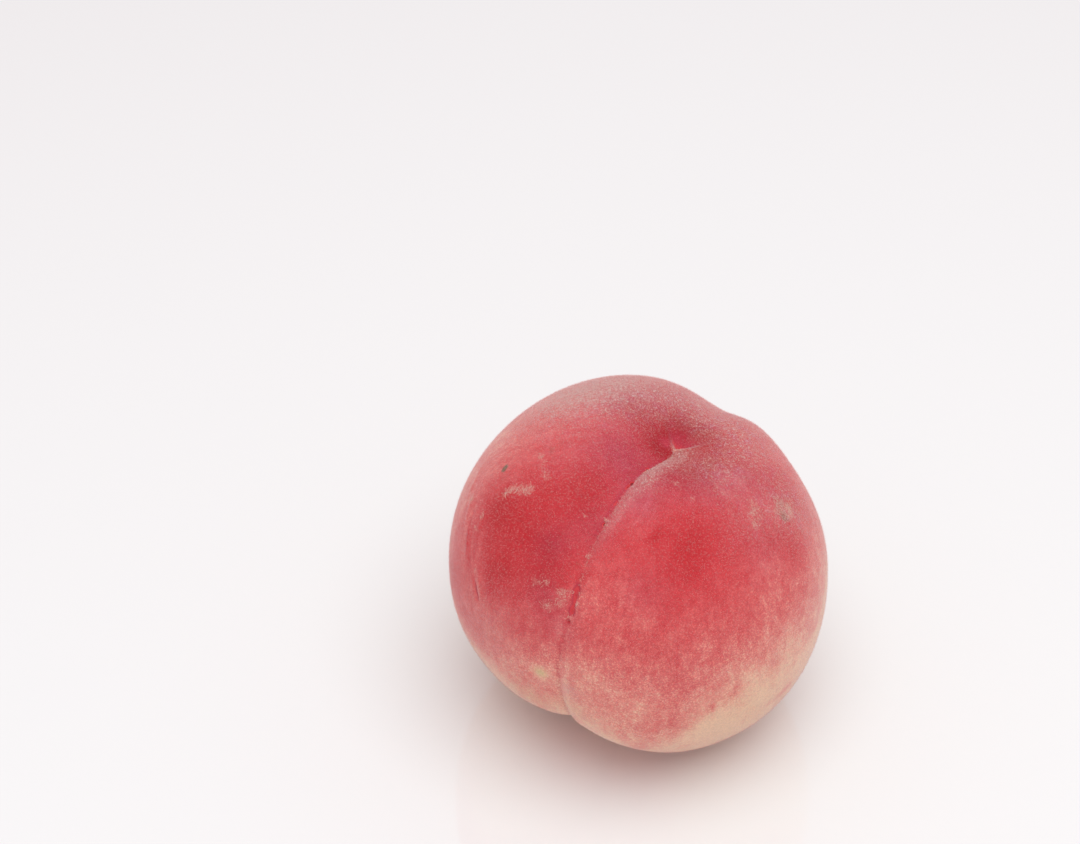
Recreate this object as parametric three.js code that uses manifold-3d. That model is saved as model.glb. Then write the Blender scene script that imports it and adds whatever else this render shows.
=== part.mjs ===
// A white-fleshed peach, picked, standing on its stem end.
// Millimetres, +Z up. The origin is the middle of the flat spot's plane under the fruit.
//
// The fruit is one closed skin, given by its radius in every direction from the core.
// A direction has two angles: "polar", 0 at the blossom tip and 180 at the stem,
// and "turn", 0 at the suture and positive round toward the right-hand lobe.

import * as THREE from "three";
import Module from "manifold-3d";

// Driving dimensions, in mm.
const HALF_WIDTH = 43.6;
const CORE_TO_TIP = 41.2;
const CORE_TO_STEM_END = 39.5;
const SQUARENESS = 2.35; // exponent of the profile: 2 is an ellipse, more is fuller at the shoulders
const CORE_HEIGHT = 38.5; // above the surface that the fruit stands on

// The core sits a little away from the middle of the flesh: x, y in the fruit's standing frame.
const OFF_CENTRE = new THREE.Vector3(-2.2, 2.0, 0);

// The suture faces this compass direction, in degrees from +X.
const SUTURE_AZIMUTH = 239;

// The blossom end leans off the axis, in degrees, and the lean fades away from it.
const LEAN = { toRightLobe: 6.2, awayFromSuture: 4.0, spread: 42 };

// Blossom end: a shallow dimple with a small blunt point in it. Depths in mm, spreads in degrees.
const DIMPLE = { depth: 2.6, spread: 17 };
const POINT = { height: 0.8, spread: 2.4 };

// Behind the tip the skin falls away in a wedge-shaped hollow, on the side away from the suture.
const HOLLOW = { depth: 1.5, halfAngle: 50, reach: 10, edge: [-0.2, 3.0] };

// Stem end: a steep round cavity with the raised scar of the stalk in its floor.
const CAVITY = { depth: 14, spread: 11.5, steepness: 2.4 };
const SCAR = { height: 0.9, spread: 4.2 };

// The suture is a sharp crease in the middle of a wide, soft valley.
// Both run round the fruit in one plane. Station 0 is the stem, 90 the front, 180 the tip, 270 the back,
// and stations under 0 are the back of the stem end, where both fade out.
// Each row is [station in degrees, depth in mm].
const CREASE_DEPTH = [
  [-30, 0],
  [0, 1.4],
  [25, 3.4],
  [45, 2.6],
  [70, 1.0],
  [95, 0.7],
  [140, 0.75],
  [168, 1.1],
  [180, 0.9],
  [190, 0.5],
  [205, 0],
];
const VALLEY_DEPTH = [
  [-50, 0],
  [0, 1.0],
  [22, 3.5],
  [44, 8.0],
  [66, 3.0],
  [95, 1.3],
  [130, 1.8],
  [165, 2.2],
  [190, 2.0],
  [226, 2.8],
  [268, 0],
];
// The suture strays from its plane: [station in degrees, mm to the right].
const SUTURE_WANDER = [
  [95, 0],
  [115, 1.2],
  [138, 0],
  [161, -1.3],
  [178, 0],
];
const CREASE_SLOPE = { left: 2.6, right: 1.3, power: 1.3 }; // widths in mm: the right side is steeper
const VALLEY_SLOPE = { left: 11, right: 8 }; // widths in mm
const VALLEY_FLARE = { station: 44, spread: 26, extra: 0.45 }; // wider where the lobes part low down
const LIP = { height: 0.35, from: 3.2, width: 2.4, start: [75, 110], end: [168, 178] }; // right of the crease

// Broad swellings and flats of the flesh: compass direction, elevation, spread in degrees, height in mm.
const SWELLS = [
  [26, 26, 26, -3.1], // flat on the back right
  [175, 6, 30, 0.8], // fuller left cheek
  [207, -27, 22, -2.4], // tapers in below the left cheek
  [236, -43, 14, -1.7], // notch below the suture
  [267, -48, 20, -0.2],
  [329, -30, 24, 0.3], // lower right cheek
  [75, 48, 22, -0.5], // slack shoulder behind the tip
  [146, 32, 26, -0.7], // slack shoulder of the left lobe
  [329, -62, 24, 1.5], // the shoulders that carry the fruit
  [285, -66, 20, 0.7],
  [20, -64, 24, 0.8],
];

// Gentle unevenness of the flesh, as a few crossing waves.
const WAVES = { count: 9, height: 0.05, frequency: 5.5 };

// The grid of the skin: rings from tip to stem, columns round the fruit.
const RINGS = 84;
const RING_CROWDING = 0.62; // how much closer the rings lie at the two ends
const COLUMNS = 64;
const COLUMN_CROWDING = { atSuture: 0.5, atSutureAndBack: 0.25 };

const SKIN_COLOUR = 0xb8504a;
const SKIN_ROUGHNESS = 0.85;

const GOLDEN_TURN = 2.399963; // radians

const radians = THREE.MathUtils.degToRad;
const degrees = THREE.MathUtils.radToDeg;
const smoothstep = THREE.MathUtils.smoothstep;

// A bell curve, 1 in the middle and 0.37 at one spread from it.
function bell(distance, spread) {
  return Math.exp(-((distance / spread) ** 2));
}

// A smooth line through a list of [station, value] rows.
function along(rows, station) {
  let value = rows[0][1];
  for (let i = 1; i < rows.length; i++) {
    const [from, before] = rows[i - 1];
    const [to, after] = rows[i];
    if (station >= from) value = before + (after - before) * smoothstep(station, from, to);
  }
  return value;
}

// A unit vector from a compass direction and an elevation, in degrees.
function toward(azimuth, elevation) {
  return new THREE.Vector3(
    Math.cos(radians(azimuth)) * Math.cos(radians(elevation)),
    Math.sin(radians(azimuth)) * Math.cos(radians(elevation)),
    Math.sin(radians(elevation)),
  );
}

const swells = SWELLS.map(([azimuth, elevation, spread, height]) => ({
  direction: toward(azimuth, elevation),
  spread,
  height,
}));

// Depth of the suture at a point of the unit sphere: x faces the suture, y the right lobe, z the tip.
function sutureDepth(x, y, z) {
  let station = degrees(Math.atan2(x, -z));
  if (station < -90) station += 360;
  const across = y * HALF_WIDTH - along(SUTURE_WANDER, station);
  const left = across < 0;
  const creaseWidth = left ? CREASE_SLOPE.left : CREASE_SLOPE.right;
  const crease = Math.exp(-(Math.abs(across / creaseWidth) ** CREASE_SLOPE.power));
  const flare = 1 + VALLEY_FLARE.extra * bell(station - VALLEY_FLARE.station, VALLEY_FLARE.spread);
  const valley = bell(across, flare * (left ? VALLEY_SLOPE.left : VALLEY_SLOPE.right));
  const lip =
    LIP.height *
    bell(across - LIP.from, LIP.width) *
    smoothstep(station, ...LIP.start) *
    (1 - smoothstep(station, ...LIP.end));
  return along(CREASE_DEPTH, station) * crease + along(VALLEY_DEPTH, station) * valley - lip;
}

// Depth of the hollow behind the tip. x and y are the direction's parts across the fruit.
function hollowDepth(fromTip, x, y) {
  const turn = Math.atan2(y, x);
  const behind = -fromTip * Math.cos(turn);
  const beside = Math.abs(fromTip * Math.sin(turn));
  const inside =
    behind * Math.sin(radians(HOLLOW.halfAngle)) - beside * Math.cos(radians(HOLLOW.halfAngle));
  return HOLLOW.depth * smoothstep(inside, ...HOLLOW.edge) * bell(fromTip, HOLLOW.reach);
}

// Radius of the fruit before it leans and swells.
function plainRadius(x, y, z) {
  const fromTip = degrees(Math.acos(z));
  const fromStem = 180 - fromTip;
  const halfHeight = z > 0 ? CORE_TO_TIP : CORE_TO_STEM_END;
  const body =
    ((Math.hypot(x, y) / HALF_WIDTH) ** SQUARENESS + (Math.abs(z) / halfHeight) ** SQUARENESS) **
    (-1 / SQUARENESS);
  const dimple = DIMPLE.depth * bell(fromTip, DIMPLE.spread);
  const point = POINT.height * bell(fromTip, POINT.spread);
  const cavity = CAVITY.depth * Math.exp(-((fromStem / CAVITY.spread) ** CAVITY.steepness));
  const scar = SCAR.height * Math.exp(-((fromStem / SCAR.spread) ** 4));
  const hollow = hollowDepth(fromTip, x, y);
  return body - dimple + point - hollow - cavity + scar - sutureDepth(x, y, z);
}

// The unevenness of the flesh in one direction, in mm.
function unevenness(direction) {
  let sum = 0;
  for (let i = 0; i < WAVES.count; i++) {
    const rise = 1 - (2 * (i + 0.5)) / WAVES.count;
    const flat = Math.sqrt(1 - rise * rise);
    const turn = i * GOLDEN_TURN;
    const phase = direction.x * flat * Math.cos(turn) + direction.y * flat * Math.sin(turn) + direction.z * rise;
    sum += Math.sin(WAVES.frequency * phase + turn);
  }
  return WAVES.height * sum;
}

// A point of the skin, in mm from the core, in the fruit's standing frame.
function skinPoint(polar, turn) {
  const x = Math.sin(radians(polar)) * Math.cos(radians(turn));
  const y = Math.sin(radians(polar)) * Math.sin(radians(turn));
  const z = Math.cos(radians(polar));
  const fade = bell(polar, LEAN.spread);
  const direction = new THREE.Vector3(x, y, z)
    .applyAxisAngle(new THREE.Vector3(1, 0, 0), -radians(LEAN.toRightLobe * fade))
    .applyAxisAngle(new THREE.Vector3(0, 1, 0), -radians(LEAN.awayFromSuture * fade))
    .applyAxisAngle(new THREE.Vector3(0, 0, 1), radians(SUTURE_AZIMUTH));
  let radius = plainRadius(x, y, z) + direction.dot(OFF_CENTRE) + unevenness(direction);
  for (const swell of swells)
    radius += swell.height * bell(degrees(direction.angleTo(swell.direction)), swell.spread);
  return direction.multiplyScalar(radius);
}

// Rings crowd toward the tip and the stem, columns toward the suture.
function ringAngle(ring) {
  const share = ring / RINGS;
  return 180 * (share - (RING_CROWDING * Math.sin(2 * Math.PI * share)) / (2 * Math.PI));
}

function columnAngle(column) {
  const share = (2 * column) / COLUMNS - 1;
  const once = (COLUMN_CROWDING.atSuture * Math.sin(Math.PI * share)) / Math.PI;
  const twice = (COLUMN_CROWDING.atSutureAndBack * Math.sin(2 * Math.PI * share)) / (2 * Math.PI);
  return 180 * (share - once - twice);
}

// The whole skin as vertices and triangles: a point at the tip, rings, and a point in the stem cavity.
function skinMesh() {
  const vertices = [...skinPoint(0, 0).toArray()];
  for (let ring = 1; ring < RINGS; ring++)
    for (let column = 0; column < COLUMNS; column++)
      vertices.push(...skinPoint(ringAngle(ring), columnAngle(column)).toArray());
  vertices.push(...skinPoint(180, 0).toArray());

  const stem = 1 + (RINGS - 1) * COLUMNS;
  const index = (ring, column) => 1 + (ring - 1) * COLUMNS + (column % COLUMNS);
  const triangles = [];
  for (let column = 0; column < COLUMNS; column++) {
    triangles.push(0, index(1, column), index(1, column + 1));
    for (let ring = 1; ring < RINGS - 1; ring++) {
      const a = index(ring, column);
      const b = index(ring, column + 1);
      const c = index(ring + 1, column);
      const d = index(ring + 1, column + 1);
      triangles.push(a, c, d, a, d, b);
    }
    triangles.push(stem, index(RINGS - 1, column + 1), index(RINGS - 1, column));
  }
  return { vertices, triangles };
}

// A box as vertices and triangles, from its lowest to its highest corner.
function boxMesh(low, high) {
  const vertices = [];
  for (let corner = 0; corner < 8; corner++)
    vertices.push(
      corner & 1 ? high.x : low.x,
      corner & 2 ? high.y : low.y,
      corner & 4 ? high.z : low.z,
    );
  const faces = [
    [0, 2, 3, 1],
    [4, 5, 7, 6],
    [0, 1, 5, 4],
    [2, 6, 7, 3],
    [0, 4, 6, 2],
    [1, 3, 7, 5],
  ];
  const triangles = faces.flatMap(([a, b, c, d]) => [a, b, c, a, c, d]);
  return { vertices, triangles };
}

const wasm = await Module();
wasm.setup();

function solidOf({ vertices, triangles }) {
  return new wasm.Manifold(
    new wasm.Mesh({
      numProp: 3,
      vertProperties: new Float32Array(vertices),
      triVerts: new Uint32Array(triangles),
    }),
  );
}

function geometryOf(solid) {
  const mesh = solid.getMesh();
  const geometry = new THREE.BufferGeometry();
  geometry.setAttribute("position", new THREE.BufferAttribute(mesh.vertProperties, 3));
  geometry.setIndex(new THREE.BufferAttribute(mesh.triVerts, 1));
  return geometry;
}

// The fruit, settled: the shoulders round the stem cavity are flat where they carry its weight.
function peachGeometry() {
  const reach = 2 * HALF_WIDTH;
  const below = boxMesh(
    new THREE.Vector3(-reach, -reach, -reach),
    new THREE.Vector3(reach, reach, -CORE_HEIGHT),
  );
  const geometry = geometryOf(solidOf(skinMesh()).subtract(solidOf(below)));
  geometry.computeBoundingBox();
  const middle = geometry.boundingBox.getCenter(new THREE.Vector3());
  geometry.translate(-middle.x, -middle.y, CORE_HEIGHT);
  geometry.computeVertexNormals();
  return geometry;
}

const skin = new THREE.MeshStandardMaterial({
  color: SKIN_COLOUR,
  roughness: SKIN_ROUGHNESS,
  metalness: 0,
});

const peach = new THREE.Mesh(peachGeometry(), skin);
peach.name = "peach";

const part = new THREE.Group();
part.name = "peach_part";
part.add(peach);

export default part;
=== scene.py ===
"""A ripe white-fleshed peach standing on a pale glossy surface. The scene is in metres, +Z up;
the fruit's own dimensions are in millimetres, as in the part's source."""

import math

import bpy
import numpy as np
from mathutils import Matrix, Vector


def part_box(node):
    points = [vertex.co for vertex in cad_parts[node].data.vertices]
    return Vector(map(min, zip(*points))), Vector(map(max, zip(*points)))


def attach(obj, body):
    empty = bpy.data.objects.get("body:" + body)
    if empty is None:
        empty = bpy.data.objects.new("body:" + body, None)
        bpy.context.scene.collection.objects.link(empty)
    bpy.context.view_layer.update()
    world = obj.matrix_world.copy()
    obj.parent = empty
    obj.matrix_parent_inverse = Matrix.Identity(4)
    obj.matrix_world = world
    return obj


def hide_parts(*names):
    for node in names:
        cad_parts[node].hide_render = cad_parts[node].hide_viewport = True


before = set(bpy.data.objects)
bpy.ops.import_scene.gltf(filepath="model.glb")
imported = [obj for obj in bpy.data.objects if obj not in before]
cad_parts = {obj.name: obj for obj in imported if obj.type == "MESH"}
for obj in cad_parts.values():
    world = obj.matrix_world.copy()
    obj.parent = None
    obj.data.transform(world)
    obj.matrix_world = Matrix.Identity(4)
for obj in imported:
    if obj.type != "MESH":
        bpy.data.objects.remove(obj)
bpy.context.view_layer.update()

MM = 0.001
SEED = 11

# ---------------------------------------------------------------- the fruit's form
# A radius for every direction from the core, the same as the solid's. "polar" is 0 at the
# blossom tip and 180 at the stem, and "turn" is 0 at the suture and positive round toward
# the right-hand lobe. Lengths are in mm and angles in degrees.

HALF_WIDTH = 43.6
CORE_TO_TIP = 41.2
CORE_TO_STEM_END = 39.5
SQUARENESS = 2.35
CORE_HEIGHT = 38.5
OFF_CENTRE = np.array([-2.2, 2.0, 0.0])
SUTURE_AZIMUTH = 239
LEAN_TO_RIGHT_LOBE = 6.2
LEAN_AWAY_FROM_SUTURE = 4.0
LEAN_SPREAD = 42
DIMPLE_DEPTH, DIMPLE_SPREAD = 2.6, 17
POINT_HEIGHT, POINT_SPREAD = 0.8, 2.4
CAVITY_DEPTH, CAVITY_SPREAD, CAVITY_STEEPNESS = 14, 11.5, 2.4
SCAR_HEIGHT, SCAR_SPREAD, SCAR_STEEPNESS = 0.9, 4.2, 4
# The wedge-shaped hollow behind the tip: its edge is in degrees inside the wedge.
HOLLOW_DEPTH, HOLLOW_HALF_ANGLE, HOLLOW_REACH, HOLLOW_EDGE = 1.5, 50, 10, (-0.2, 3.0)

# Station along the suture's plane: 0 stem, 90 front, 180 tip, 270 back. Depths in mm.
CREASE_DEPTH = [
    (-30, 0), (0, 1.4), (25, 3.4), (45, 2.6), (70, 1.0), (95, 0.7),
    (140, 0.75), (168, 1.1), (180, 0.9), (190, 0.5), (205, 0),
]
VALLEY_DEPTH = [
    (-50, 0), (0, 1.0), (22, 3.5), (44, 8.0), (66, 3.0), (95, 1.3),
    (130, 1.8), (165, 2.2), (190, 2.0), (226, 2.8), (268, 0),
]
SUTURE_WANDER = [(95, 0), (115, 1.2), (138, 0), (161, -1.3), (178, 0)]  # mm to the right
CREASE_SLOPE_LEFT, CREASE_SLOPE_RIGHT, CREASE_POWER = 2.6, 1.3, 1.3
VALLEY_SLOPE_LEFT, VALLEY_SLOPE_RIGHT = 11, 8
FLARE_STATION, FLARE_SPREAD, FLARE_EXTRA = 44, 26, 0.45
# The right-hand lobe's edge stands a little above the suture between these stations.
LIP_HEIGHT, LIP_ASIDE, LIP_WIDTH, LIP_START, LIP_END = 0.35, 3.2, 2.4, (75, 110), (168, 178)

# Swellings and flats: compass direction, elevation, spread in degrees, height in mm.
SWELLS = [
    (26, 26, 26, -3.1),
    (175, 6, 30, 0.8),
    (207, -27, 22, -2.4),
    (236, -43, 14, -1.7),
    (267, -48, 20, -0.2),
    (329, -30, 24, 0.3),
    (75, 48, 22, -0.5),
    (146, 32, 26, -0.7),
    (329, -62, 24, 1.5),
    (285, -66, 20, 0.7),
    (20, -64, 24, 0.8),
]
WAVE_COUNT, WAVE_HEIGHT, WAVE_FREQUENCY = 9, 0.05, 5.5
GOLDEN_TURN = 2.399963


def bell(distance, spread):
    return np.exp(-((distance / spread) ** 2))


def smoothstep(start, end, x):
    t = np.clip((x - start) / (end - start), 0, 1)
    return t * t * (3 - 2 * t)


def along(rows, station):
    """A smooth line through (station, value) rows."""
    value = np.full_like(station, rows[0][1])
    for (start, before), (end, after) in zip(rows[:-1], rows[1:]):
        step = before + (after - before) * smoothstep(start, end, station)
        value = np.where(station >= start, step, value)
    return value


def between(station, start, end):
    """1 between two stations, fading in over start's two stations and out over end's."""
    return smoothstep(*start, station) * (1 - smoothstep(*end, station))


def toward(azimuth, elevation):
    """A unit vector from a compass direction and an elevation."""
    a, e = math.radians(azimuth), math.radians(elevation)
    return np.array([math.cos(a) * math.cos(e), math.sin(a) * math.cos(e), math.sin(e)])


def fruit_direction(polar, turn):
    """x faces the suture, y the right-hand lobe, z the tip."""
    p, t = np.radians(polar), np.radians(turn)
    return np.sin(p) * np.cos(t), np.sin(p) * np.sin(t), np.cos(p)


def suture_place(x, y, z):
    """A direction in the suture's own terms: station in degrees, and mm to the right of its floor."""
    station = np.degrees(np.arctan2(x, -z))
    station = np.where(station < -90, station + 360, station)
    return station, y * HALF_WIDTH - along(SUTURE_WANDER, station)


def suture_depth(x, y, z):
    """How far the crease and its valley take the skin in, less the raised edge beside them."""
    station, across = suture_place(x, y, z)
    left = across < 0
    crease_width = np.where(left, CREASE_SLOPE_LEFT, CREASE_SLOPE_RIGHT)
    crease = np.exp(-np.abs(across / crease_width) ** CREASE_POWER)
    flare = 1 + FLARE_EXTRA * bell(station - FLARE_STATION, FLARE_SPREAD)
    valley = bell(across, flare * np.where(left, VALLEY_SLOPE_LEFT, VALLEY_SLOPE_RIGHT))
    lip = LIP_HEIGHT * bell(across - LIP_ASIDE, LIP_WIDTH) * between(station, LIP_START, LIP_END)
    return along(CREASE_DEPTH, station) * crease + along(VALLEY_DEPTH, station) * valley - lip


def tip_wedge(x, y, z):
    """Degrees inside the wedge behind the tip, and how near the tip."""
    from_tip = np.degrees(np.arccos(np.clip(z, -1, 1)))
    turn = np.arctan2(y, x)
    half_angle = math.radians(HOLLOW_HALF_ANGLE)
    behind = -from_tip * np.cos(turn)
    beside = np.abs(from_tip * np.sin(turn))
    inside = behind * math.sin(half_angle) - beside * math.cos(half_angle)
    return inside, from_tip


def hollow_depth(x, y, z):
    inside, from_tip = tip_wedge(x, y, z)
    return HOLLOW_DEPTH * smoothstep(*HOLLOW_EDGE, inside) * bell(from_tip, HOLLOW_REACH)


def plain_radius(x, y, z):
    """The distance from the core to the skin, before the swellings."""
    from_tip = np.degrees(np.arccos(np.clip(z, -1, 1)))
    from_stem = 180 - from_tip
    half_height = np.where(z > 0, CORE_TO_TIP, CORE_TO_STEM_END)
    body = (np.hypot(x, y) / HALF_WIDTH) ** SQUARENESS + (np.abs(z) / half_height) ** SQUARENESS
    body = body ** (-1 / SQUARENESS)
    dimple = DIMPLE_DEPTH * bell(from_tip, DIMPLE_SPREAD)
    point = POINT_HEIGHT * bell(from_tip, POINT_SPREAD)
    cavity = CAVITY_DEPTH * np.exp(-((from_stem / CAVITY_SPREAD) ** CAVITY_STEEPNESS))
    scar = SCAR_HEIGHT * np.exp(-((from_stem / SCAR_SPREAD) ** SCAR_STEEPNESS))
    return body - dimple + point - hollow_depth(x, y, z) - cavity + scar - suture_depth(x, y, z)


def unevenness(direction):
    """Slow waves that run every way over the skin."""
    total = 0
    for i in range(WAVE_COUNT):
        rise = 1 - 2 * (i + 0.5) / WAVE_COUNT
        flat = math.sqrt(1 - rise * rise)
        turn = i * GOLDEN_TURN
        wave = np.array([flat * math.cos(turn), flat * math.sin(turn), rise])
        total = total + np.sin(WAVE_FREQUENCY * (direction @ wave) + turn)
    return WAVE_HEIGHT * total


def standing_direction(x, y, z, polar):
    """The fruit's direction once its tip leans and it stands in the frame."""
    fade = bell(polar, LEAN_SPREAD)
    b = np.radians(LEAN_TO_RIGHT_LOBE * fade)
    y, z = y * np.cos(b) + z * np.sin(b), z * np.cos(b) - y * np.sin(b)
    g = np.radians(LEAN_AWAY_FROM_SUTURE * fade)
    x, z = x * np.cos(g) - z * np.sin(g), x * np.sin(g) + z * np.cos(g)
    a = math.radians(SUTURE_AZIMUTH)
    return np.stack([x * math.cos(a) - y * math.sin(a), x * math.sin(a) + y * math.cos(a), z], -1)


def from_direction(direction, azimuth, elevation):
    """Degrees between the directions of the skin and one named direction."""
    return np.degrees(np.arccos(np.clip(direction @ toward(azimuth, elevation), -1, 1)))


def skin_points(polar, turn):
    """Points of the skin in mm from the core, and their directions."""
    x, y, z = fruit_direction(polar, turn)
    direction = standing_direction(x, y, z, polar)
    radius = plain_radius(x, y, z) + direction @ OFF_CENTRE + unevenness(direction)
    for azimuth, elevation, spread, height in SWELLS:
        radius = radius + height * bell(from_direction(direction, azimuth, elevation), spread)
    radius = radius + fine_relief(x, y, z, direction)
    return direction * radius[..., None], direction


# ---------------------------------------------------------------- the grid of the skin
RINGS, COLUMNS = 326, 300
CROWDING_SAMPLES = 4001
# Where lines of the grid lie closer together: angle, spread, and how much closer.
RING_CROWDING = [(0, 12, 2.5), (180, 22, 1.2)]
COLUMN_CROWDING = [(0, 9, 5.0), (-33, 4, 3.0), (-48, 8, 1.5)]
UPPER_HALF, UPPER_HALF_CROWDING = (85, 60), 0.7
FRONT_HALF, FRONT_HALF_CROWDING = (110, 70), 0.6


def crowded(count, start, end, density):
    """count + 1 angles from start to end, closer together where density is higher."""
    fine = np.linspace(start, end, CROWDING_SAMPLES)
    weight = density(fine)
    total = np.concatenate([[0], np.cumsum((weight[1:] + weight[:-1]) / 2)])
    return np.interp(np.linspace(0, total[-1], count + 1), total, fine)


def crowding(rows, angle):
    return sum(closer * bell(angle - middle, spread) for middle, spread, closer in rows)


def ring_density(polar):
    """Finer over the upper half, at the tip and in the stem cavity."""
    return 1 + UPPER_HALF_CROWDING * smoothstep(*UPPER_HALF, polar) + crowding(RING_CROWDING, polar)


def column_density(turn):
    """Finer over the front, along the suture and on the folded cheek."""
    front = FRONT_HALF_CROWDING * smoothstep(*FRONT_HALF, np.abs(turn))
    return 1 + front + crowding(COLUMN_CROWDING, turn)


def ring_angles():
    return crowded(RINGS, 0, 180, ring_density)[1:-1]


def column_angles():
    return crowded(COLUMNS, -180, 180, column_density)[:-1]


def grid_faces():
    """Triangles at the two poles and quads between the rings, facing out."""
    column = np.arange(COLUMNS)
    beside = (column + 1) % COLUMNS
    last = 1 + (RINGS - 2) * COLUMNS
    stem = last + COLUMNS
    faces = [(0, 1 + a, 1 + b) for a, b in zip(column, beside)]
    for ring in range(RINGS - 2):
        here = 1 + ring * COLUMNS
        there = here + COLUMNS
        faces += [(here + a, there + a, there + b, here + b) for a, b in zip(column, beside)]
    faces += [(stem, last + b, last + a) for a, b in zip(column, beside)]
    return faces


# ---------------------------------------------------------------- fine relief, in mm
# Tears in the suture's floor: station, mm to the right of the floor, length, width, depth.
TEARS = [
    (121.0, 0.05, 3.0, 2.10, 0.15),
    (118.2, 0.00, 2.6, 1.10, 0.14),
    (114.9, 0.05, 2.3, 2.00, 0.16),
    (111.2, -0.10, 0.8, 0.90, 0.28),
    (141.4, 0.00, 0.8, 0.70, 0.34),
    (148.5, -0.30, 1.8, 0.40, 0.12),
    (157.0, 0.10, 1.2, 0.85, 0.40),
    (155.2, -0.20, 1.4, 0.60, 0.22),
    (165.3, -0.20, 1.0, 0.70, 0.28),
]
# Lifted scraps of skin beside the tears: station, mm to the right, length, width, height.
LIPS = [
    (117.7, 0.95, 1.0, 0.9, 0.28),
    (112.7, -0.10, 0.6, 2.2, 0.20),
    (142.8, -0.15, 0.9, 1.3, 0.27),
    (119.0, -1.35, 3.0, 0.5, 0.12),
    (157.6, 0.85, 1.4, 0.5, 0.15),
    (165.6, 0.45, 1.0, 0.5, 0.15),
    (131.2, 0.45, 1.4, 0.5, 0.14),
    (132.8, 0.65, 0.7, 0.4, 0.12),
    (125.5, 0.60, 1.0, 0.4, 0.12),
    (92.5, 0.10, 1.0, 0.6, 0.12),
]
# Smaller scraps strewn along the suture: ranges, and the middle and spread of their places across.
SCRAP_COUNT = 70
SCRAP_STATIONS, SCRAP_ACROSS = (97, 171), (0.30, 0.45)
SCRAP_LENGTH, SCRAP_WIDTH, SCRAP_HEIGHT = (0.3, 0.8), (0.3, 0.6), (0.06, 0.17)
# Folds of the left cheek: compass direction and elevation of both ends, width, and depth,
# which is less than 0 for a ridge.
FOLDS = [
    (203.2, 17.5, 208.4, 11.5, 0.8, 0.34),
    (204.2, 20.5, 209.6, 13.0, 1.1, -0.26),
    (201.0, 18.5, 206.2, 10.5, 1.0, -0.12),
    (181.5, 31.5, 189.0, 24.0, 1.2, -0.24),
    (185.5, 33.0, 192.5, 24.5, 1.0, 0.18),
    (193.2, 33.6, 197.2, 27.0, 0.9, -0.20),
    (190.0, 27.0, 197.5, 18.0, 1.2, -0.20),
    (193.5, 27.0, 200.5, 18.0, 1.0, 0.16),
    (170.0, 36.0, 181.0, 26.0, 1.6, -0.18),
]
DEGREE_MM = 0.7  # along the skin
SPOT_EDGE = 1.5  # the steepness of the sides of tears and scraps; 1 is a bell
LINE_ENDS = (0.04, 0.96)  # the share of a fold's or a streak's length where its taper stops
FOLD_TAPER = 0.7
# The two thin ridges that meet at the tip run just outside the wedge, in degrees.
TIP_RIDGE_HEIGHT, TIP_RIDGE_OUTSIDE, TIP_RIDGE_WIDTH, TIP_RIDGE_START = 0.22, 0.4, 0.6, (0.3, 2)
# Two waves pucker the crease: height, the fast one's share, width, and where it fades in and out.
PUCKER_HEIGHT, PUCKER_FAST_SHARE, PUCKER_WIDTH = 0.09, 0.7, 0.7
PUCKER_START, PUCKER_END = (60, 95), (170, 178)
PUCKER_TURNS = (3.85, 7.53)  # radians for each degree of station


def make_scraps():
    rng = np.random.default_rng(SEED)
    station = rng.uniform(*SCRAP_STATIONS, SCRAP_COUNT)
    across = rng.normal(*SCRAP_ACROSS, SCRAP_COUNT)
    limits = (SCRAP_LENGTH, SCRAP_WIDTH, SCRAP_HEIGHT)
    sizes = [rng.uniform(low, high, SCRAP_COUNT) for low, high in limits]
    return list(zip(station, across, *sizes))


SCRAPS = LIPS + make_scraps()


def beside_suture(rows, station, across):
    """Small boat-shaped bells lying along the suture, each of its own height."""
    total = 0
    for where, aside, length, width, height in rows:
        lengthways = (station - where) * DEGREE_MM / (length / 2)
        sideways = (across - aside) / (width / 2)
        total = total + height * np.exp(-(lengthways**2 + sideways**2) ** SPOT_EDGE)
    return total


def beside_line(direction, start, end):
    """mm from points of the skin to a line between two directions, and the share of its length."""
    a, b = toward(*start) * HALF_WIDTH, toward(*end) * HALF_WIDTH
    line = b - a
    point = direction * HALF_WIDTH
    share = np.clip((point - a) @ line / (line @ line), 0, 1)
    return np.linalg.norm(point - a - share[..., None] * line, axis=-1), share


def lines(rows, direction, taper):
    """Lines on the skin, each of its own width and amount, that taper toward both ends."""
    total = 0
    for start_azimuth, start_elevation, end_azimuth, end_elevation, width, amount in rows:
        start, end = (start_azimuth, start_elevation), (end_azimuth, end_elevation)
        distance, share = beside_line(direction, start, end)
        fullness = np.sin(np.pi * np.clip(share, *LINE_ENDS)) ** taper
        total = total + amount * fullness * bell(distance, width / 2)
    return total


def folds(direction):
    return lines(FOLDS, direction, FOLD_TAPER)


def tip_ridges(x, y, z):
    """1 along the two thin ridges that bound the wedge."""
    inside, from_tip = tip_wedge(x, y, z)
    ridge = bell(inside + TIP_RIDGE_OUTSIDE, TIP_RIDGE_WIDTH)
    return ridge * bell(from_tip, HOLLOW_REACH) * smoothstep(*TIP_RIDGE_START, from_tip)


def pucker(station, across):
    """Small waves along the crease, on the front of the fruit."""
    slow, fast = (np.sin(turns * station + turns) for turns in PUCKER_TURNS)
    waves = PUCKER_HEIGHT * (slow + PUCKER_FAST_SHARE * fast)
    return waves * bell(across, PUCKER_WIDTH) * between(station, PUCKER_START, PUCKER_END)


def fine_relief(x, y, z, direction):
    """What stands out of the plain skin or is sunk in it."""
    station, across = suture_place(x, y, z)
    raised = beside_suture(SCRAPS, station, across) + TIP_RIDGE_HEIGHT * tip_ridges(x, y, z)
    sunk = beside_suture(TEARS, station, across) + folds(direction)
    return raised + pucker(station, across) - sunk


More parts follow.
